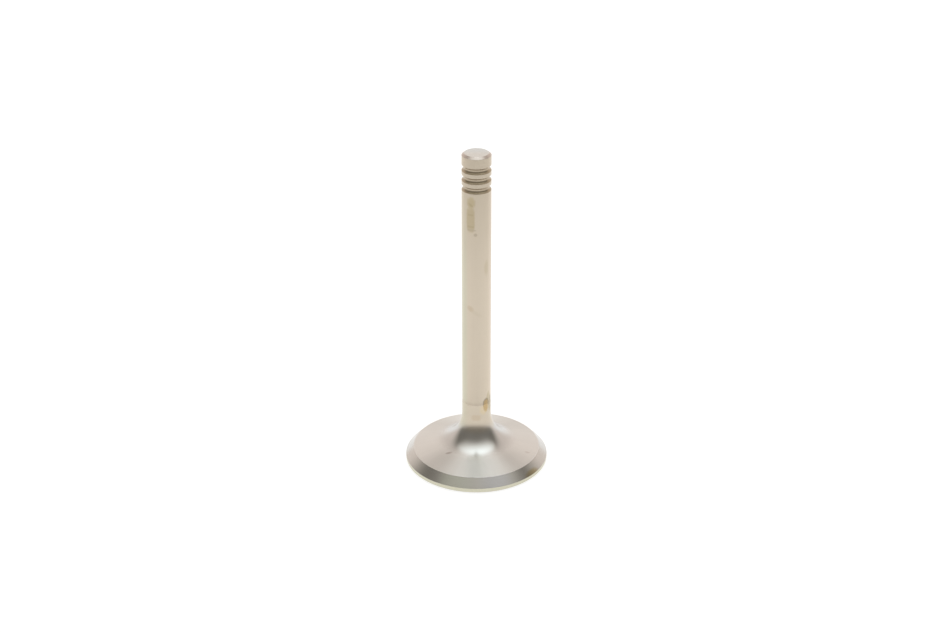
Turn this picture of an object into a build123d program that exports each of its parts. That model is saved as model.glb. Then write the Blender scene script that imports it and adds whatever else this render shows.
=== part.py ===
from build123d import *
import math
import os

# A poppet valve for a car engine: one piece of steel, forged, turned and ground.
# Millimetres, +Z up the stem. The origin is the centre of the combustion face, on which it stands.

# Stem
overall_length = 93.0       # combustion face to tip
stem_diameter = 7.97        # ground, to run in the guide
ground_from = 18.7          # height at which the ground stem begins
grinding_runout = 0.6       # height over which the grinding fades into the turned neck
neck_oversize = 0.06        # on the radius: the neck is left this much above the ground stem

# Head
head_diameter = 40.2
face_chamfer = 0.5          # breaks the edge of the combustion face
margin_height = 1.5         # plain band from the combustion face to the seat
seat_angle = 45.0           # slope of the seat cone
seat_width = 3.2            # along the cone
seat_edge = 0.2             # radius that breaks the edge between the seat and the back
back_angle = 15.0           # slope of the head's back
neck_blend = 9.5            # radius that joins the head's back to the neck

# Keeper grooves, each of round section
groove_count = 3
groove_pitch = 2.74
first_groove = 4.0          # from the tip to the middle of the first groove
groove_radius = 0.8
groove_depth = 0.58
groove_edge = 0.1           # radius that breaks each groove's edges

# Tip
tip_chamfer_width = 0.7     # taken off the radius
tip_chamfer_height = 0.52

head_radius = head_diameter / 2
stem_radius = stem_diameter / 2
neck_radius = stem_radius + neck_oversize


def rise(run, angle):
    """Height gained over a run at a slope in degrees."""
    return run * math.tan(math.radians(angle))


def blank_outline():
    """Half of the blank's section: from the combustion face, over the head, up the stem to the tip."""
    seat_run = seat_width * math.cos(math.radians(seat_angle))
    back_radius = head_radius - seat_run
    back_height = margin_height + rise(seat_run, seat_angle)
    neck_height = back_height + rise(back_radius - neck_radius, back_angle)
    seat_corner = (back_radius, back_height)
    neck_corner = (neck_radius, neck_height)
    outline = Polyline(
        (0, 0),
        (head_radius - face_chamfer, 0),
        (head_radius, face_chamfer),
        (head_radius, margin_height),
        seat_corner,
        neck_corner,
        (neck_radius, ground_from - grinding_runout),
        (stem_radius, ground_from),
        (stem_radius, overall_length - tip_chamfer_height),
        (stem_radius - tip_chamfer_width, overall_length),
        (0, overall_length),
        close=True,
    )
    section = make_face(outline)
    for corner, radius in ((seat_corner, seat_edge), (neck_corner, neck_blend)):
        section = fillet(section.vertices().sort_by_distance(corner).first, radius)
    return section


def groove_heights():
    """Heights of the grooves' middles, starting with the one nearest the tip."""
    return [overall_length - first_groove - turn * groove_pitch for turn in range(groove_count)]


def cut_grooves(section):
    """Takes the keeper grooves out of the section, and breaks their edges."""
    centre_radius = stem_radius - groove_depth + groove_radius
    for height in groove_heights():
        section -= Pos(centre_radius, height) * Circle(groove_radius)
    half_width = math.sqrt(groove_radius**2 - (centre_radius - stem_radius) ** 2)
    edges = [
        section.vertices().sort_by_distance((stem_radius, height + side * half_width)).first
        for height in groove_heights()
        for side in (-1, 1)
    ]
    return fillet(edges, groove_edge)


half_section = cut_grooves(blank_outline())
valve = revolve(Plane.XZ * half_section, Axis.Z)
valve.label = "valve"

os.makedirs("parts", exist_ok=True)
export_step(valve, "parts/valve.step")
print("valve:", round(valve.volume / 1000, 2), "cm3,", len(valve.faces()), "faces, valid", valve.is_valid)
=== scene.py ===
import math

import bmesh
import bpy
from mathutils import Matrix, Vector


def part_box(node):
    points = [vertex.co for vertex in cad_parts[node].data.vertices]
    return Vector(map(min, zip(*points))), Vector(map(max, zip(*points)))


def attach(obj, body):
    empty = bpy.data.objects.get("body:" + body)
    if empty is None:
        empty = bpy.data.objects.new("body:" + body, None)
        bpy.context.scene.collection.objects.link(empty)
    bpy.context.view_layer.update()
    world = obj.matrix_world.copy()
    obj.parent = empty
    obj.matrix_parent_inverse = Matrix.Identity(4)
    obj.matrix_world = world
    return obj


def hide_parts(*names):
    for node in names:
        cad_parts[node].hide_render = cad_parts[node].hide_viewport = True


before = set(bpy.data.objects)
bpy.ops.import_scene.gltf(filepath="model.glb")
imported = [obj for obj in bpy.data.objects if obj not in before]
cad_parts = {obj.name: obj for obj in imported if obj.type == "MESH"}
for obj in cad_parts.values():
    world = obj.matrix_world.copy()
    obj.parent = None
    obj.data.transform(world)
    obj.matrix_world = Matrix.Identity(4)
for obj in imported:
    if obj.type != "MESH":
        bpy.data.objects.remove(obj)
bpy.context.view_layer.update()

mm = 0.001


# small helpers

def addNode(tree, kind, inputs=None, **settings):
    # one node, its settings, and its inputs as numbers or as links from other sockets
    node = tree.nodes.new(kind)
    for name, value in settings.items():
        setattr(node, name, value)
    for socket, value in (inputs or {}).items():
        if isinstance(value, bpy.types.NodeSocket):
            tree.links.new(value, node.inputs[socket])
        else:
            node.inputs[socket].default_value = value
    return node


def calc(tree, operation, first, second=0.0, third=0.0, clamp=False):
    node = addNode(tree, "ShaderNodeMath", {0: first, 1: second, 2: third}, operation=operation)
    node.use_clamp = clamp
    return node.outputs[0]


def vectorCalc(tree, operation, inputs):
    return addNode(tree, "ShaderNodeVectorMath", inputs, operation=operation).outputs


def fade(tree, value, fromLow, fromHigh, toLow=0.0, toHigh=1.0):
    # an eased ramp between two values
    node = addNode(tree, "ShaderNodeMapRange",
                   {"Value": value, "From Min": fromLow, "From Max": fromHigh,
                    "To Min": toLow, "To Max": toHigh}, interpolation_type="SMOOTHSTEP")
    return node.outputs["Result"]


def blendTone(tree, share, first, second):
    node = addNode(tree, "ShaderNodeMix", data_type="RGBA")
    for socket, value in ((0, share), (6, first), (7, second)):
        if isinstance(value, bpy.types.NodeSocket):
            tree.links.new(value, node.inputs[socket])
        else:
            node.inputs[socket].default_value = value if socket == 0 else (*value, 1.0)
    return node.outputs[2]


def blendLevel(tree, share, first, second):
    # as blendTone, for plain numbers
    return addNode(tree, "ShaderNodeMix", {0: share, 2: first, 3: second}, data_type="FLOAT").outputs[0]


def grain(tree, place, scale, detail=3.0, roughness=0.6):
    node = addNode(tree, "ShaderNodeTexNoise",
                   {"Vector": place, "Scale": scale, "Detail": detail, "Roughness": roughness})
    return node.outputs["Fac"]


# the turned blank: one outline, from the middle of the combustion face to the middle of the tip

valveTurning = {
    "stemDiameter": 7.97,
    "groundFrom": 18.7,          # the ground stem begins here, and the neck ends below it
    "grindingRunout": 0.6,
    "runoutBlend": 2.375,        # radius at both ends of the run-out
    "neckOversize": 0.06,
    "faceChamfer": 0.5,
    "marginHeight": 1.5,
    "seatAngle": 45.0,
    "seatWidth": 3.2,
    "seatEdge": 0.2,
    "backAngle": 15.0,
    "neckBlend": 9.5,
    "neckEase": 2.6,             # length over which the blend comes and goes
    "firstGroove": 4.0,          # from the tip
    "groovePitch": 2.74,
    "grooveCount": 3,
    "grooveRadius": 0.8,
    "grooveDepth": 0.58,
    "grooveEdge": 0.1,
    "tipChamferWidth": 0.7,
    "tipChamferHeight": 0.52,
    "brokenEdge": 0.05,          # a stroke of the stone on every other edge
    "segments": 288,             # round the axis
    "neckSteps": 56,
    "grooveSteps": 20,
    "grooveEdgeSteps": 6,
    "step": 0.9,                 # longest step along a straight cut
    "land": 0.06,                # at both ends of a straight cut, and on a short cut one part in landParts
    "landParts": 6,
}

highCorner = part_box("valve")[1]
headRadius = highCorner.x / mm
overallLength = highCorner.z / mm
stemRadius = valveTurning["stemDiameter"] / 2
neckRadius = stemRadius + valveTurning["neckOversize"]
seatLean = math.radians(valveTurning["seatAngle"])
seatTop = (headRadius - valveTurning["seatWidth"] * math.cos(seatLean),
           valveTurning["marginHeight"] + valveTurning["seatWidth"] * math.sin(seatLean))
neckFoot = seatTop[1] + (seatTop[0] - neckRadius) * math.tan(math.radians(valveTurning["backAngle"]))


def arcPoints(centre, radius, fromAngle, toAngle, steps):
    points = []
    for step in range(steps + 1):
        angle = math.radians(fromAngle + (toAngle - fromAngle) * step / steps)
        points.append((centre[0] + radius * math.cos(angle), centre[1] + radius * math.sin(angle)))
    return points


def roundedCorner(before, corner, after, radius, steps):
    # the arc that touches both cuts beside a corner
    arriving = (Vector(corner) - Vector(before)).normalized()
    leaving = (Vector(after) - Vector(corner)).normalized()
    turn = arriving.angle_signed(leaving)
    cut = radius * math.tan(abs(turn) / 2)
    start = Vector(corner) - arriving * cut
    side = -math.copysign(1, turn)
    centre = start + Vector((-arriving.y, arriving.x)) * radius * side
    spoke = start - centre
    points = []
    for step in range(steps + 1):
        angle = side * abs(turn) * step / steps
        points.append((centre.x + spoke.x * math.cos(angle) - spoke.y * math.sin(angle),
                       centre.y + spoke.x * math.sin(angle) + spoke.y * math.cos(angle)))
    return points


def easedBlend(before, corner, after, radius, ease, steps):
    # a blend between two cuts whose curve comes and goes gradually, over the ease at each end
    arriving = (Vector(corner) - Vector(before)).normalized()
    leaving = (Vector(after) - Vector(corner)).normalized()
    turn = arriving.angle_signed(leaving)
    length = radius * abs(turn) + ease
    stride = length / steps
    bends = []
    for step in range(steps):
        along = stride * (step + 0.5)
        bends.append(min(along / ease, 1, (length - along) / ease))
    heading = 0
    path = [Vector((0, 0))]
    for bend in bends:
        bend *= -turn / sum(bends)
        path.append(path[-1] + Matrix.Rotation(heading + bend / 2, 2) @ arriving * stride)
        heading += bend
    crossed = arriving.x * leaving.y - arriving.y * leaving.x
    cut = (path[-1].x * leaving.y - path[-1].y * leaving.x) / crossed
    start = Vector(corner) - arriving * cut
    return [tuple(start + place) for place in path]


def straightCut(start, end):
    # points along a straight cut, with a short land at both ends that keeps its shading flat
    length = math.dist(start, end)
    land = min(valveTurning["land"], length / valveTurning["landParts"])
    inner = max(1, math.ceil((length - 2 * land) / valveTurning["step"]))
    shares = [land / length]
    shares += [(land + (length - 2 * land) * count / inner) / length for count in range(1, inner)]
    shares.append(1 - land / length)
    across, up = end[0] - start[0], end[1] - start[1]
    return [(start[0] + across * share, start[1] + up * share) for share in shares]


def grooveCut(middle):
    # a round keeper groove and its two broken edges, which touch the stem and the groove
    turning = valveTurning
    centreOut = stemRadius + turning["grooveRadius"] - turning["grooveDepth"]
    reach = turning["grooveRadius"] + turning["grooveEdge"]
    edgeIn = stemRadius - turning["grooveEdge"]
    lean = math.degrees(math.acos((centreOut - edgeIn) / reach))
    drop = reach * math.sin(math.radians(lean))
    edgeSteps = turning["grooveEdgeSteps"]
    lower = arcPoints((edgeIn, middle - drop), turning["grooveEdge"], 0, lean, edgeSteps)
    floorArc = arcPoints((centreOut, middle), turning["grooveRadius"],
                         180 + lean, 180 - lean, turning["grooveSteps"])
    upper = arcPoints((edgeIn, middle + drop), turning["grooveEdge"], -lean, 0, edgeSteps)
    return lower + floorArc[1:-1] + upper


def valveOutline():
    # every point of the outline with the finish of the strip that follows it
    turning = valveTurning
    broken = turning["brokenEdge"]
    neckTop = turning["groundFrom"] - turning["grindingRunout"]
    chamferFoot = overallLength - turning["tipChamferHeight"]
    # each corner's place, radius, ease, steps, and the finish that follows it
    corners = [
        ((0, 0), 0, 0, 0, "combustionFace"),
        ((headRadius - turning["faceChamfer"], 0), broken, 0, 3, "margin"),
        ((headRadius, turning["faceChamfer"]), broken, 0, 3, "margin"),
        ((headRadius, turning["marginHeight"]), broken, 0, 4, "seat"),
        (seatTop, turning["seatEdge"], 0, 5, "headBack"),
        ((neckRadius, neckFoot), turning["neckBlend"], turning["neckEase"], turning["neckSteps"], "headBack"),
        ((neckRadius, neckTop), turning["runoutBlend"], 0, 3, "headBack"),
        ((stemRadius, turning["groundFrom"]), turning["runoutBlend"], 0, 3, "groundStem"),
        ((stemRadius, chamferFoot), broken, 0, 4, "tipChamfer"),
        ((stemRadius - turning["tipChamferWidth"], overallLength), broken, 0, 4, "tipFace"),
        ((0, overallLength), 0, 0, 0, "tipFace"),
    ]
    turned = []                      # the corners, rounded: a list of (points, finish)
    for index, (corner, radius, ease, steps, finish) in enumerate(corners):
        points = [corner]
        if radius:
            before, after = corners[index - 1][0], corners[index + 1][0]
            if ease:
                points = easedBlend(before, corner, after, radius, ease, steps)
            else:
                points = roundedCorner(before, corner, after, radius, steps)
        turned.append((points, finish))
        if finish == "groundStem":   # the grooves lie on the stem, from the lowest up
            for count in reversed(range(turning["grooveCount"])):
                middle = overallLength - turning["firstGroove"] - count * turning["groovePitch"]
                turned.append((grooveCut(middle), "keeperGroove"))
    outline = []
    for index, (points, finish) in enumerate(turned):
        outline += [(*point, finish) for point in points]
        if finish == "keeperGroove":
            finish = "groundStem"
            outline[-1] = (*points[-1], finish)
        if index + 1 < len(turned):
            following = turned[index + 1][0]
            outline += [(*point, finish) for point in straightCut(points[-1], following[0])]
    return outline


# small dents from handling: degrees round from the front, then height, reach from the axis,
# width and depth in mm

handlingDents = [
    {"round": -34, "height": 0.3, "out": 20.1, "width": 0.55, "depth": 0.05},
    {"round": 71, "height": 1.6, "out": 20.1, "width": 0.5, "depth": 0.05},
    {"round": 148, "height": 1.6, "out": 20.1, "width": 0.7, "depth": 0.06},
    {"round": -131, "height": 0.2, "out": 20.1, "width": 0.6, "depth": 0.06},
    {"round": 116, "height": 92.7, "out": 3.75, "width": 0.3, "depth": 0.03},
]
undentedCore = 1.0               # mm from the axis


def dented(place):
    # moves a point in towards the axis where something has knocked the edge
    depth = 0
    for dent in handlingDents:
        angle = math.radians(dent["round"])
        centre = Vector((math.sin(angle) * dent["out"], -math.cos(angle) * dent["out"], dent["height"]))
        depth += dent["depth"] * math.exp(-((place - centre).length / dent["width"]) ** 2)
    inward = Vector((-place.x, -place.y, 0))
    return place + inward.normalized() * depth if inward.length > undentedCore else place


def spinValve(outline, finishes):
    segments = valveTurning["segments"]
    shape = bmesh.new()
    rings = []
    for radius, height, finish in outline:
        if radius == 0:
            rings.append([shape.verts.new((0, 0, height * mm))])
            continue
        ring = []
        for count in range(segments):
            angle = 2 * math.pi * count / segments
            place = dented(Vector((radius * math.cos(angle), radius * math.sin(angle), height)))
            ring.append(shape.verts.new(place * mm))
        rings.append(ring)
    for lower, upper, (_, _, finish) in zip(rings, rings[1:], outline):
        for count in range(segments):
            following = (count + 1) % segments
            around = [lower[count % len(lower)], lower[following % len(lower)],
                      upper[following % len(upper)], upper[count % len(upper)]]
            face = shape.faces.new(list(dict.fromkeys(around)))
            face.material_index = finishes.index(finish)
            face.smooth = True
    bmesh.ops.recalc_face_normals(shape, faces=shape.faces)
    mesh = bpy.data.meshes.new("valveBlank")
    shape.to_mesh(mesh)
    shape.free()
    return mesh


# where a point of the valve is, for the finishes

def readPlace(tree):
    coordinates = addNode(tree, "ShaderNodeTexCoord")
    position = vectorCalc(tree, "SCALE", {0: coordinates.outputs["Object"], "Scale": 1 / mm})[0]
    axes = addNode(tree, "ShaderNodeSeparateXYZ", {0: position}).outputs
    flat = vectorCalc(tree, "MULTIPLY", {0: position, 1: (1.0, 1.0, 0.0)})[0]
    radius = vectorCalc(tree, "LENGTH", {0: flat})["Value"]
    ring = vectorCalc(tree, "NORMALIZE", {0: flat})[0]
    towardsViewer = calc(tree, "MULTIPLY", axes["Y"], -1.0)
    turned = calc(tree, "DEGREES", calc(tree, "ARCTAN2", axes["X"], towardsViewer))
    return {"position": position, "ring": ring, "radius": radius, "height": axes["Z"], "round": turned,
            "back": axes["Y"]}


def spread(tree, place, around, along, alongScale):
    # a noise place that is slow round the axis and quick along the cut, or the other way about
    wide = vectorCalc(tree, "SCALE", {0: place["ring"], "Scale": around})[0]
    up = calc(tree, "MULTIPLY", place[along], alongScale)
    lifted = addNode(tree, "ShaderNodeCombineXYZ", {"Z": up}).outputs[0]
    return vectorCalc(tree, "ADD", {0: wide, 1: lifted})[0]


# what a mark has where it says nothing else: it lies on the stem, upright and round

plainMark = {"along": "height", "out": stemRadius, "tilt": 0.0, "square": 2.0, "outer": 1.3, "inner": 0.4}


def markPlace(tree, place, mark):
    # mm across and along a mark, from its middle and turned by its tilt
    mark = {**plainMark, **mark}
    across = calc(tree, "MULTIPLY", calc(tree, "SUBTRACT", place["round"], mark["round"]),
                  math.radians(1) * mark["out"])
    up = calc(tree, "SUBTRACT", place[mark["along"]], mark["at"])
    tilt = math.radians(mark["tilt"])
    turnedAcross = calc(tree, "MULTIPLY_ADD", up, math.sin(tilt),
                        calc(tree, "MULTIPLY", across, math.cos(tilt)))
    turnedUp = calc(tree, "MULTIPLY_ADD", across, -math.sin(tilt),
                    calc(tree, "MULTIPLY", up, math.cos(tilt)))
    return turnedAcross, turnedUp


def markShare(tree, place, mark):
    # how much of a mark lies on a point: its strength inside, easing to 0 over a ragged edge
    mark = {**plainMark, **mark}
    across, up = markPlace(tree, place, mark)
    reach = 0.0
    for distance, half in ((across, mark["halfWidth"]), (up, mark["halfHeight"])):
        share = calc(tree, "ABSOLUTE", calc(tree, "DIVIDE", distance, half))
        reach = calc(tree, "ADD", calc(tree, "POWER", share, mark["square"]), reach)
    ragged = calc(tree, "SUBTRACT", grain(tree, place["position"], mark["ragScale"]), 0.5)
    reach = calc(tree, "MULTIPLY_ADD", ragged, mark["rag"], reach)
    return fade(tree, reach, mark["outer"], mark["inner"], 0.0, mark["strength"])


# steel that has been turned or ground round its axis

steelGrain = {"lines": (4.0, 0.7), "streaks": (3.0, 0.6), "cloud": (3.0, 0.55)}    # detail and roughness


def turnedSteel(name, finish, changes=None):
    material = bpy.data.materials.new(name)
    material.use_nodes = True
    tree = material.node_tree
    tree.nodes.clear()
    place = readPlace(tree)
    along = finish["along"]
    lineSpread = spread(tree, place, finish["lineWander"], along, finish["linesPerMm"])
    lines = grain(tree, lineSpread, 1.0, *steelGrain["lines"])
    streakSpread = spread(tree, place, finish["streakCount"], along, finish["streakLength"])
    streaks = grain(tree, streakSpread, 1.0, *steelGrain["streaks"])
    cloud = grain(tree, place["position"], finish["cloudScale"], *steelGrain["cloud"])
    shade = calc(tree, "MULTIPLY", calc(tree, "SUBTRACT", lines, 0.5), finish["lineTone"])
    shade = calc(tree, "MULTIPLY_ADD", calc(tree, "SUBTRACT", streaks, 0.5), finish["streakTone"], shade)
    shade = calc(tree, "MULTIPLY_ADD", calc(tree, "SUBTRACT", cloud, 0.5), finish["cloudTone"], shade)
    shade = calc(tree, "ADD", shade, 0.5, clamp=True)
    tone = blendTone(tree, shade, finish["deepTone"], finish["tone"])
    uneven = finish["roughSpread"]
    rough = calc(tree, "MULTIPLY_ADD", calc(tree, "SUBTRACT", cloud, 0.5), uneven, finish["roughness"])
    rough = calc(tree, "MULTIPLY_ADD", calc(tree, "SUBTRACT", lines, 0.5), uneven, rough)
    if changes:
        tone, rough = changes(tree, place, tone, rough)
    bump = addNode(tree, "ShaderNodeBump",
                   {"Height": lines, "Distance": finish["lineDepth"] * mm, "Strength": 1.0})
    around = addNode(tree, "ShaderNodeTangent", direction_type="RADIAL", axis="Z")
    shader = addNode(tree, "ShaderNodeBsdfPrincipled",
                     {"Base Color": tone, "Metallic": 1.0, "Roughness": rough, "Normal": bump.outputs[0],
                      "Tangent": around.outputs[0], "Anisotropic": finish["drawn"],
                      "Anisotropic Rotation": 0.25})
    addNode(tree, "ShaderNodeOutputMaterial", {"Surface": shader.outputs[0]})
    return material


groundStemFinish = {
    "tone": (0.758, 0.67, 0.553), "deepTone": (0.68, 0.60, 0.49),
    "roughness": 0.32, "roughSpread": 0.06, "drawn": 0.9,
    "along": "height", "linesPerMm": 3.0, "lineWander": 0.8, "lineTone": 0.35, "lineDepth": 0.0004,
    "streakCount": 5.0, "streakLength": 0.02, "streakTone": 0.5,
    "cloudScale": 0.12, "cloudTone": 0.8,
}

keeperGrooveFinish = {
    "tone": (0.63, 0.54, 0.42), "deepTone": (0.53, 0.45, 0.345),
    "roughness": 0.37, "roughSpread": 0.05, "drawn": 0.5,
    "along": "height", "linesPerMm": 5.0, "lineWander": 1.0, "lineTone": 0.5, "lineDepth": 0.0006,
    "streakCount": 4.0, "streakLength": 0.2, "streakTone": 0.4,
    "cloudScale": 0.5, "cloudTone": 0.6,
}

# painted light: the cone's tone is raised well above the neck's and the seat's, in place of lamp light
headBackFinish = {
    "tone": (0.80, 0.795, 0.775), "deepTone": (0.72, 0.715, 0.695),
    "roughness": 0.42, "roughSpread": 0.03, "drawn": 0.95,
    "along": "radius", "linesPerMm": 2.5, "lineWander": 1.2, "lineTone": 0.25, "lineDepth": 0.0002,
    "streakCount": 7.0, "streakLength": 0.04, "streakTone": 0.9,
    "cloudScale": 0.10, "cloudTone": 0.6,
}

# the neck is smoother than the cone round it and keeps a darker tone, the cone's tone being raised as painted
# light; the stem's straw film runs down to it

neckChange = {
    "tone": (0.572, 0.565, 0.552), "roughness": 0.175, "smoothTo": 8.2, "coneFrom": 13.0,
    "strawTone": (0.61, 0.54, 0.44), "strawShadeTone": (0.585, 0.545, 0.435), "strawUntil": 4.1, "clearFrom": 5.6,
    "mattScale": 30.0, "mattSpread": 1.2,    # fine matt grain where the smooth neck runs out into the cone
}

seatFinish = {
    "tone": (0.65, 0.64, 0.62), "deepTone": (0.58, 0.57, 0.55),
    "roughness": 0.20, "roughSpread": 0.05, "drawn": 0.5,
    "along": "radius", "linesPerMm": 4.0, "lineWander": 1.2, "lineTone": 0.35, "lineDepth": 0.0003,
    "streakCount": 6.0, "streakLength": 0.1, "streakTone": 0.5,
    "cloudScale": 0.15, "cloudTone": 0.5,
}

marginFinish = {
    "tone": (0.66, 0.64, 0.52), "deepTone": (0.58, 0.56, 0.44),
    "roughness": 0.235, "roughSpread": 0.05, "drawn": 0.4,
    "along": "height", "linesPerMm": 5.0, "lineWander": 1.2, "lineTone": 0.4, "lineDepth": 0.0004,
    "streakCount": 6.0, "streakLength": 0.3, "streakTone": 0.5,
    "cloudScale": 0.2, "cloudTone": 0.6,
}

tipFaceFinish = {
    "tone": (0.705, 0.715, 0.695), "deepTone": (0.625, 0.635, 0.615),
    "roughness": 0.25, "roughSpread": 0.04, "drawn": 0.2,
    "along": "radius", "linesPerMm": 5.0, "lineWander": 1.0, "lineTone": 0.4, "lineDepth": 0.0005,
    "streakCount": 3.0, "streakLength": 0.5, "streakTone": 0.3,
    "cloudScale": 0.5, "cloudTone": 0.6,
}

tipChamferFinish = {
    "tone": (0.60, 0.54, 0.495), "deepTone": (0.53, 0.475, 0.435),
    "roughness": 0.34, "roughSpread": 0.06, "drawn": 0.7,
    "along": "radius", "linesPerMm": 5.0, "lineWander": 1.0, "lineTone": 0.4, "lineDepth": 0.0005,
    "streakCount": 3.0, "streakLength": 0.5, "streakTone": 0.3,
    "cloudScale": 0.5, "cloudTone": 0.6,
}

combustionFaceFinish = {
    "tone": (0.60, 0.58, 0.54), "deepTone": (0.48, 0.46, 0.43),
    "roughness": 0.33, "roughSpread": 0.06, "drawn": 0.6,
    "along": "radius", "linesPerMm": 2.2, "lineWander": 0.6, "lineTone": 0.6, "lineDepth": 0.0012,
    "streakCount": 3.0, "streakLength": 0.1, "streakTone": 0.3,
    "cloudScale": 0.12, "cloudTone": 0.6,
}

# painted shade: the lower half of each groove is painted darker

grooveChange = {"unshadedAbove": 0.1, "shadedBelow": -0.25, "darkTone": (0.44, 0.37, 0.27)}

# the tip is cooler towards its back

tipChange = {"warmUntil": -1.5, "coolFrom": 2.0, "coolTone": (0.65, 0.705, 0.725), "strength": 0.85}

# how the straw film on the stem changes: painted shade makes it darker and cooler on its left flank, and
# darker towards the tip

stemChange = {
    "paintedShadeSide": (-0.94, -0.34, 0.0), "coolFrom": 0.78, "coolTone": (0.66, 0.64, 0.515),
    "tipwardShadeFrom": 50.0, "tipwardShadeTone": (0.615, 0.54, 0.435),
    "runoutFilm": 1.3, "runoutTone": (0.60, 0.52, 0.415), "runoutShare": 0.55,
}

# marks: degrees round from the front, and mm

stemMarks = [
    # a generic etched field of two soft patches and four bars, with a small dot below
    {"round": -22, "at": 80.2, "halfWidth": 1.35, "halfHeight": 1.8, "ragScale": 1.3, "rag": 1.0,
     "inner": 0.2, "tone": (0.54, 0.455, 0.30), "strength": 0.9},
    {"round": -24, "at": 75.3, "halfWidth": 1.2, "halfHeight": 3.5, "square": 4.0, "ragScale": 1.3,
     "rag": 0.9, "outer": 1.7, "inner": 0.2, "tone": (0.54, 0.455, 0.305), "strength": 0.85},
    {"round": -22, "at": 79.5, "halfWidth": 0.8, "halfHeight": 0.35, "tilt": -40, "ragScale": 2.0,
     "rag": 0.9, "tone": (0.42, 0.345, 0.22), "strength": 0.45},
    {"round": -24, "at": 76.7, "halfWidth": 0.8, "halfHeight": 0.3, "square": 4.0, "ragScale": 2.0,
     "rag": 0.8, "tone": (0.46, 0.38, 0.25), "strength": 0.4},
    {"round": -23, "at": 73.3, "halfWidth": 1.1, "halfHeight": 0.3, "square": 4.0, "ragScale": 2.0,
     "rag": 0.8, "tone": (0.46, 0.38, 0.25), "strength": 0.4},
    {"round": -19, "at": 72.3, "halfWidth": 1.3, "halfHeight": 0.25, "square": 4.0, "ragScale": 2.0,
     "rag": 0.8, "tone": (0.50, 0.43, 0.32), "strength": 0.5},
    {"round": -4, "at": 71.0, "halfWidth": 0.55, "halfHeight": 0.5, "ragScale": 1.5, "rag": 0.5,
     "tone": (0.50, 0.42, 0.32), "strength": 0.7},
    # a wiped smudge with a warmer start
    {"round": -5, "at": 47.7, "halfWidth": 2.4, "halfHeight": 0.55, "tilt": -32, "ragScale": 0.8,
     "rag": 0.9, "outer": 1.6, "inner": -0.2, "tone": (0.685, 0.605, 0.485), "strength": 0.75},
    {"round": -25, "at": 48.9, "halfWidth": 1.15, "halfHeight": 0.85, "tilt": -40, "ragScale": 1.0,
     "rag": 0.8, "outer": 1.6, "inner": -0.4, "tone": (0.64, 0.53, 0.395), "strength": 0.8},
    # a worn place on the right
    {"round": 42, "at": 61.0, "halfWidth": 0.8, "halfHeight": 2.4, "ragScale": 0.8, "rag": 0.8,
     "outer": 1.5, "inner": 0.0, "tone": (0.62, 0.54, 0.41), "strength": 0.8},
]

# a dried drop of oil with a pale straw edge and the thin trail that it ran down

oilTrail = [
    # the drop's dark edge, where it runs out of sight
    {"round": 72, "at": 18.4, "halfWidth": 1.3, "halfHeight": 2.9, "ragScale": 1.0, "rag": 0.6,
     "outer": 1.4, "inner": 0.3, "tone": (0.45, 0.38, 0.25), "strength": 0.8},
    {"round": 31, "at": 17.1, "halfWidth": 1.3, "halfHeight": 1.6, "ragScale": 0.8, "rag": 1.0,
     "outer": 1.5, "inner": 0.2, "tone": (0.665, 0.56, 0.39), "strength": 0.75},
    {"round": 53, "at": 20.8, "halfWidth": 0.6, "halfHeight": 1.8, "tilt": -12, "ragScale": 1.2,
     "rag": 0.8, "outer": 1.5, "inner": 0.1, "tone": (0.58, 0.51, 0.36), "strength": 0.85},
]

oilDrop = {
    "round": 42, "at": 18.5, "halfWidth": 1.05, "halfHeight": 2.15, "ragScale": 0.9, "rag": 0.9,
    "strength": 0.95, "outer": 1.4, "inner": 0.35,
    "tone": (0.52, 0.385, 0.205), "darkTone": (0.22, 0.165, 0.10), "paleTone": (0.60, 0.51, 0.34),
    "rimFrom": 0.95, "rimTo": 0.68, "darkFrom": -0.7, "darkTo": 0.4, "paleFrom": 0.45, "paleTo": 0.85,
}

headSpecks = [
    # a warm patch on the neck and two specks on the cone
    {"round": -1, "at": 14.8, "halfWidth": 1.3, "halfHeight": 0.9, "square": 4.0, "ragScale": 1.0,
     "rag": 0.5, "outer": 1.6, "inner": 0.3, "tone": (0.575, 0.485, 0.375), "strength": 0.8},
    {"along": "radius", "round": -44.8, "out": 10.9, "at": 11.0, "halfWidth": 1.0, "halfHeight": 0.42,
     "tilt": -47, "ragScale": 1.6, "rag": 0.7, "outer": 1.5, "inner": 0.1, "tone": (0.36, 0.32, 0.30),
     "strength": 0.62},
    {"along": "radius", "round": 69.3, "out": 15.3, "at": 15.4, "halfWidth": 0.8, "halfHeight": 0.35,
     "tilt": 69, "ragScale": 2.0, "rag": 0.9, "outer": 1.4, "inner": 0.1, "tone": (0.50, 0.45, 0.41),
     "strength": 0.45},
]

seatMarks = [
    # a straw tinge on the seat's lower edge, and a cooler and a greener place beside the front
    {"along": "radius", "round": 52, "out": 19.8, "at": 19.85, "halfWidth": 2.7, "halfHeight": 0.85,
     "ragScale": 0.5, "rag": 0.7, "outer": 1.6, "inner": 0.0, "tone": (0.52, 0.44, 0.26),
     "strength": 0.85},
    {"along": "radius", "round": 17, "out": 19.2, "at": 19.0, "halfWidth": 4.6, "halfHeight": 4.0,
     "ragScale": 0.3, "rag": 0.6, "outer": 1.6, "inner": 0.0, "tone": (0.57, 0.57, 0.605),
     "strength": 0.75},
    {"along": "radius", "round": -19, "out": 19.2, "at": 19.0, "halfWidth": 4.8, "halfHeight": 4.0,
     "ragScale": 0.3, "rag": 0.6, "outer": 1.6, "inner": 0.0, "tone": (0.625, 0.64, 0.58),
     "strength": 0.75},
]


def layMarks(tree, place, marks, tone):
    for mark in marks:
        tone = blendTone(tree, markShare(tree, place, mark), tone, mark["tone"])
    return tone


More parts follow.
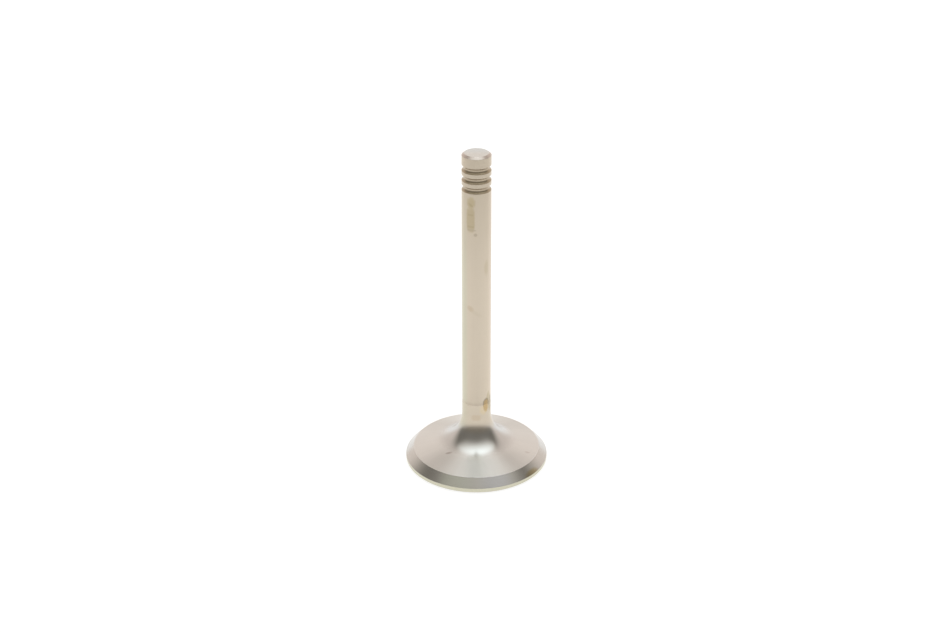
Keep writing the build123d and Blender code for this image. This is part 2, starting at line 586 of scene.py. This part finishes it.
def layOil(tree, place, tone):
    tone = layMarks(tree, place, oilTrail, tone)
    across, up = markPlace(tree, place, oilDrop)
    pale = fade(tree, across, oilDrop["paleFrom"], oilDrop["paleTo"])
    dropTone = blendTone(tree, pale, oilDrop["tone"], oilDrop["paleTone"])
    share = markShare(tree, place, oilDrop)
    rim = fade(tree, share, oilDrop["rimFrom"], oilDrop["rimTo"])
    darkRim = calc(tree, "MULTIPLY", rim, fade(tree, up, oilDrop["darkFrom"], oilDrop["darkTo"]))
    dropTone = blendTone(tree, darkRim, dropTone, oilDrop["darkTone"])
    return blendTone(tree, share, tone, dropTone)


# painted shade: blends a darker, cooler tone onto the left flank, turned a little towards the front
def paintedShadeSide(tree, place, tone, coolTone):
    facing = vectorCalc(tree, "DOT_PRODUCT", {0: place["ring"], 1: stemChange["paintedShadeSide"]})["Value"]
    return blendTone(tree, fade(tree, facing, stemChange["coolFrom"], 1.0), tone, coolTone)


def changeStem(tree, place, tone, rough):
    change = stemChange
    tone = paintedShadeSide(tree, place, tone, change["coolTone"])
    # painted shade: the stem's tone darkens from 50 mm up to the tip
    tipwardShade = fade(tree, place["height"], change["tipwardShadeFrom"], overallLength)
    tone = blendTone(tree, tipwardShade, tone, change["tipwardShadeTone"])
    lowest = valveTurning["groundFrom"]
    film = fade(tree, place["height"], lowest + change["runoutFilm"], lowest, 0.0, change["runoutShare"])
    tone = blendTone(tree, film, tone, change["runoutTone"])
    tone = layMarks(tree, place, stemMarks, tone)
    return layOil(tree, place, tone), rough


def changeGroove(tree, place, tone, rough):
    change = grooveChange
    pitch = valveTurning["groovePitch"]
    halfwayUp = overallLength - valveTurning["firstGroove"] + pitch / 2
    fromTop = calc(tree, "SUBTRACT", halfwayUp, place["height"])
    middleUp = calc(tree, "SUBTRACT", pitch / 2, calc(tree, "MODULO", fromTop, pitch))
    # painted shade: darker below the middle of each groove
    dark = fade(tree, middleUp, change["unshadedAbove"], change["shadedBelow"])
    return blendTone(tree, dark, tone, change["darkTone"]), rough


def changeTip(tree, place, tone, rough):
    change = tipChange
    cool = fade(tree, place["back"], change["warmUntil"], change["coolFrom"], 0.0, change["strength"])
    return blendTone(tree, cool, tone, change["coolTone"]), rough


def changeSeat(tree, place, tone, rough):
    return layMarks(tree, place, seatMarks, tone), rough


def changeHead(tree, place, tone, rough):
    change = neckChange
    neck = fade(tree, place["radius"], change["coneFrom"], change["smoothTo"])
    straw = fade(tree, place["radius"], change["clearFrom"], change["strawUntil"])
    tone = blendTone(tree, neck, tone, change["tone"])
    # the neck's straw film gets the same painted shade on its left flank
    film = paintedShadeSide(tree, place, change["strawTone"], change["strawShadeTone"])
    tone = blendTone(tree, straw, tone, film)
    smoother = change["roughness"] - headBackFinish["roughness"]
    rough = calc(tree, "MULTIPLY_ADD", neck, smoother, rough)
    runout = calc(tree, "MULTIPLY", neck, calc(tree, "SUBTRACT", 1.0, neck))
    matt = calc(tree, "SUBTRACT", grain(tree, place["position"], change["mattScale"], 1.0), 0.5)
    rough = calc(tree, "MULTIPLY_ADD", calc(tree, "MULTIPLY", matt, change["mattSpread"]), runout, rough)
    tone = layMarks(tree, place, headSpecks, tone)
    return layOil(tree, place, tone), rough


valveFinishes = {
    "combustionFace": turnedSteel("facedSteel", combustionFaceFinish),
    "margin": turnedSteel("marginSteel", marginFinish),
    "seat": turnedSteel("groundSeat", seatFinish, changeSeat),
    "headBack": turnedSteel("turnedHeadBack", headBackFinish, changeHead),
    "groundStem": turnedSteel("groundStem", groundStemFinish, changeStem),
    "keeperGroove": turnedSteel("turnedGroove", keeperGrooveFinish, changeGroove),
    "tipChamfer": turnedSteel("turnedTipChamfer", tipChamferFinish),
    "tipFace": turnedSteel("groundTip", tipFaceFinish, changeTip),
}
valveMesh = spinValve(valveOutline(), list(valveFinishes))
for material in valveFinishes.values():
    valveMesh.materials.append(material)
engineValve = bpy.data.objects.new("engineValve", valveMesh)
bpy.context.scene.collection.objects.link(engineValve)
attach(engineValve, "root")
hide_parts("valve")
print("valve:", len(valveMesh.vertices), "vertices,", len(valveMesh.polygons), "faces")


# the table, white to the eye and in the steel, which keeps the valve's soft shadow

studioTable = {
    "size": 8.0,
    "gap": 0.0001,               # under the combustion face
    "paper": (0.35, 0.35, 0.35),
    "glow": (0.84, 0.84, 0.84),
    "bounce": (0.8, 0.8, 0.8),
}


def seenRays(tree):
    path = addNode(tree, "ShaderNodeLightPath").outputs
    seen = calc(tree, "MAXIMUM", path["Is Camera Ray"], path["Is Glossy Ray"])
    return calc(tree, "MAXIMUM", seen, path["Is Transmission Ray"])


def makeTable():
    half = studioTable["size"] / 2
    mesh = bpy.data.meshes.new("table")
    low = -studioTable["gap"]
    corners = [(-half, -half, low), (half, -half, low), (half, half, low), (-half, half, low)]
    mesh.from_pydata(corners, [], [(0, 1, 2, 3)])
    material = bpy.data.materials.new("tablePaper")
    material.use_nodes = True
    tree = material.node_tree
    tree.nodes.clear()
    bounce = addNode(tree, "ShaderNodeBsdfDiffuse", {"Color": (*studioTable["bounce"], 1)})
    paper = addNode(tree, "ShaderNodeBsdfDiffuse", {"Color": (*studioTable["paper"], 1)})
    glow = addNode(tree, "ShaderNodeEmission", {"Color": (*studioTable["glow"], 1), "Strength": 1.0})
    lit = addNode(tree, "ShaderNodeAddShader", {0: paper.outputs[0], 1: glow.outputs[0]})
    above = addNode(tree, "ShaderNodeMixShader", {0: seenRays(tree), 1: bounce.outputs[0], 2: lit.outputs[0]})
    side = addNode(tree, "ShaderNodeNewGeometry").outputs["Backfacing"]
    clear = addNode(tree, "ShaderNodeBsdfTransparent")
    both = addNode(tree, "ShaderNodeMixShader", {0: side, 1: above.outputs[0], 2: clear.outputs[0]})
    addNode(tree, "ShaderNodeOutputMaterial", {"Surface": both.outputs[0]})
    mesh.materials.append(material)
    table = bpy.data.objects.new("table", mesh)
    bpy.context.scene.collection.objects.link(table)


makeTable()
print("table laid")


# a light tent over the table: white cloth behind and at the sides, a lamp through its roof, and an open front

lightTent = {
    "radius": 1.6,
    "segments": 64,
    "hem": 0.01,                 # what is kept of the cloth below the table's height
    "turn": -2.0,                # degrees that the tent stands round from the camera
    "front": 0.24,               # what the open front shows
    "lowBack": 1.22,             # how much brighter the cloth is low down behind the valve
    "side": 0.94, "back": 1.0,   # the cloth's light at table height, beside and behind the valve
    "high": 0.93, "highFrom": 75.0,         # its share of that light further up, and the degrees
    "opensFrom": 93.5, "opensAt": 132.0,    # degrees round from the front, between which the cloth begins
    "backFrom": 160.0,
    "lamp": 2.1, "lampRight": 0.085,        # the lamp, by its place on a level roof: reach over height
    "lampCore": 0.0, "lampSide": 1.3, "lampFront": 0.925, "lampBack": 0.33, "lampMiddle": 0.09,
    "frontTint": (1.0, 0.93, 0.815), "sideTint": (1.0, 0.895, 0.82), "backTint": (1.0, 0.98, 0.95),
    "lampTint": (0.93, 1.0, 1.01), "neutralBelow": 4.0, "warmAbove": 24.0,
    "leastHeight": 0.05,         # keeps the roof's reach finite down at the table
}


def makeTent():
    tent = lightTent
    shape = bmesh.new()
    bmesh.ops.create_uvsphere(shape, u_segments=tent["segments"], v_segments=tent["segments"] // 2,
                              radius=tent["radius"])
    below = [vert for vert in shape.verts if vert.co.z < -tent["hem"]]
    bmesh.ops.delete(shape, geom=below, context="VERTS")
    mesh = bpy.data.meshes.new("lightTent")
    shape.to_mesh(mesh)
    shape.free()
    material = bpy.data.materials.new("tentCloth")
    material.use_nodes = True
    material.cycles.emission_sampling = "NONE"
    tree = material.node_tree
    tree.nodes.clear()
    coordinates = addNode(tree, "ShaderNodeTexCoord").outputs["Object"]
    outward = vectorCalc(tree, "NORMALIZE", {0: coordinates})[0]
    axes = addNode(tree, "ShaderNodeSeparateXYZ", {0: outward}).outputs
    forward = calc(tree, "MULTIPLY", axes["Y"], -1.0)
    turned = calc(tree, "DEGREES", calc(tree, "ABSOLUTE", calc(tree, "ARCTAN2", axes["X"], forward)))
    upward = calc(tree, "DEGREES", calc(tree, "ARCSINE", axes["Z"]))
    cloth = fade(tree, turned, tent["opensFrom"], tent["opensAt"])
    backLight = fade(tree, turned, tent["opensAt"], tent["backFrom"], tent["side"], tent["back"])
    highShare = fade(tree, upward, 0.0, tent["highFrom"], 1.0, tent["high"])
    backLight = calc(tree, "MULTIPLY", backLight, highShare)
    straightBack = fade(tree, turned, tent["opensAt"], 180.0)
    lowShare = fade(tree, upward, tent["warmAbove"], tent["neutralBelow"])
    lowBack = calc(tree, "MULTIPLY", straightBack, lowShare)
    backLight = calc(tree, "MULTIPLY", backLight, fade(tree, lowBack, 0.0, 1.0, 1.0, tent["lowBack"]))
    level = blendLevel(tree, cloth, tent["front"], backLight)
    tint = blendTone(tree, cloth, tent["frontTint"], tent["sideTint"])
    tint = blendTone(tree, lowBack, tint, tent["backTint"])
    steep = calc(tree, "MAXIMUM", axes["Z"], tent["leastHeight"])
    across = calc(tree, "SUBTRACT", calc(tree, "DIVIDE", axes["X"], steep), tent["lampRight"])
    across = calc(tree, "ABSOLUTE", across)
    back = calc(tree, "DIVIDE", axes["Y"], steep)
    lamp = fade(tree, across, tent["lampSide"], tent["lampCore"])
    lamp = calc(tree, "MULTIPLY", lamp, fade(tree, back, -tent["lampFront"], tent["lampMiddle"]))
    lamp = calc(tree, "MULTIPLY", lamp, fade(tree, back, tent["lampBack"], tent["lampMiddle"]))
    level = blendLevel(tree, lamp, level, tent["lamp"])
    tint = blendTone(tree, lamp, tint, tent["lampTint"])
    shader = addNode(tree, "ShaderNodeEmission", {"Color": tint, "Strength": level})
    addNode(tree, "ShaderNodeOutputMaterial", {"Surface": shader.outputs[0]})
    mesh.materials.append(material)
    cloths = bpy.data.objects.new("lightTent", mesh)
    cloths.visible_camera = False
    cloths.rotation_euler.z = math.radians(tent["turn"])
    bpy.context.scene.collection.objects.link(cloths)


makeTent()

world = bpy.data.worlds.new("studioRoom")
world.use_nodes = True
world.node_tree.nodes.clear()
roomLight = addNode(world.node_tree, "ShaderNodeBackground", {"Color": (1, 1, 1, 1), "Strength": 1.0})
addNode(world.node_tree, "ShaderNodeOutputWorld", {"Surface": roomLight.outputs[0]})
bpy.context.scene.world = world
print("light tent up")


# the camera

cameraPlace = {
    "aim": (-0.0004, 0.0, 0.0447),
    "distance": 0.4828,
    "above": 26.8,               # degrees
    "lens": 66.43,
    "sensor": 36.0,
    "clipStart": 0.01,
}

cameraData = bpy.data.cameras.new("studioCamera")
cameraData.lens = cameraPlace["lens"]
cameraData.sensor_width = cameraPlace["sensor"]
cameraData.clip_start = cameraPlace["clipStart"]
camera = bpy.data.objects.new("studioCamera", cameraData)
bpy.context.scene.collection.objects.link(camera)
above = math.radians(cameraPlace["above"])
backward = Vector((0, -math.cos(above), math.sin(above)))
camera.location = Vector(cameraPlace["aim"]) + backward * cameraPlace["distance"]
camera.rotation_euler = (-backward).to_track_quat("-Z", "Y").to_euler()
bpy.context.scene.camera = camera
bpy.context.scene.view_settings.view_transform = "Standard"
print("camera set")
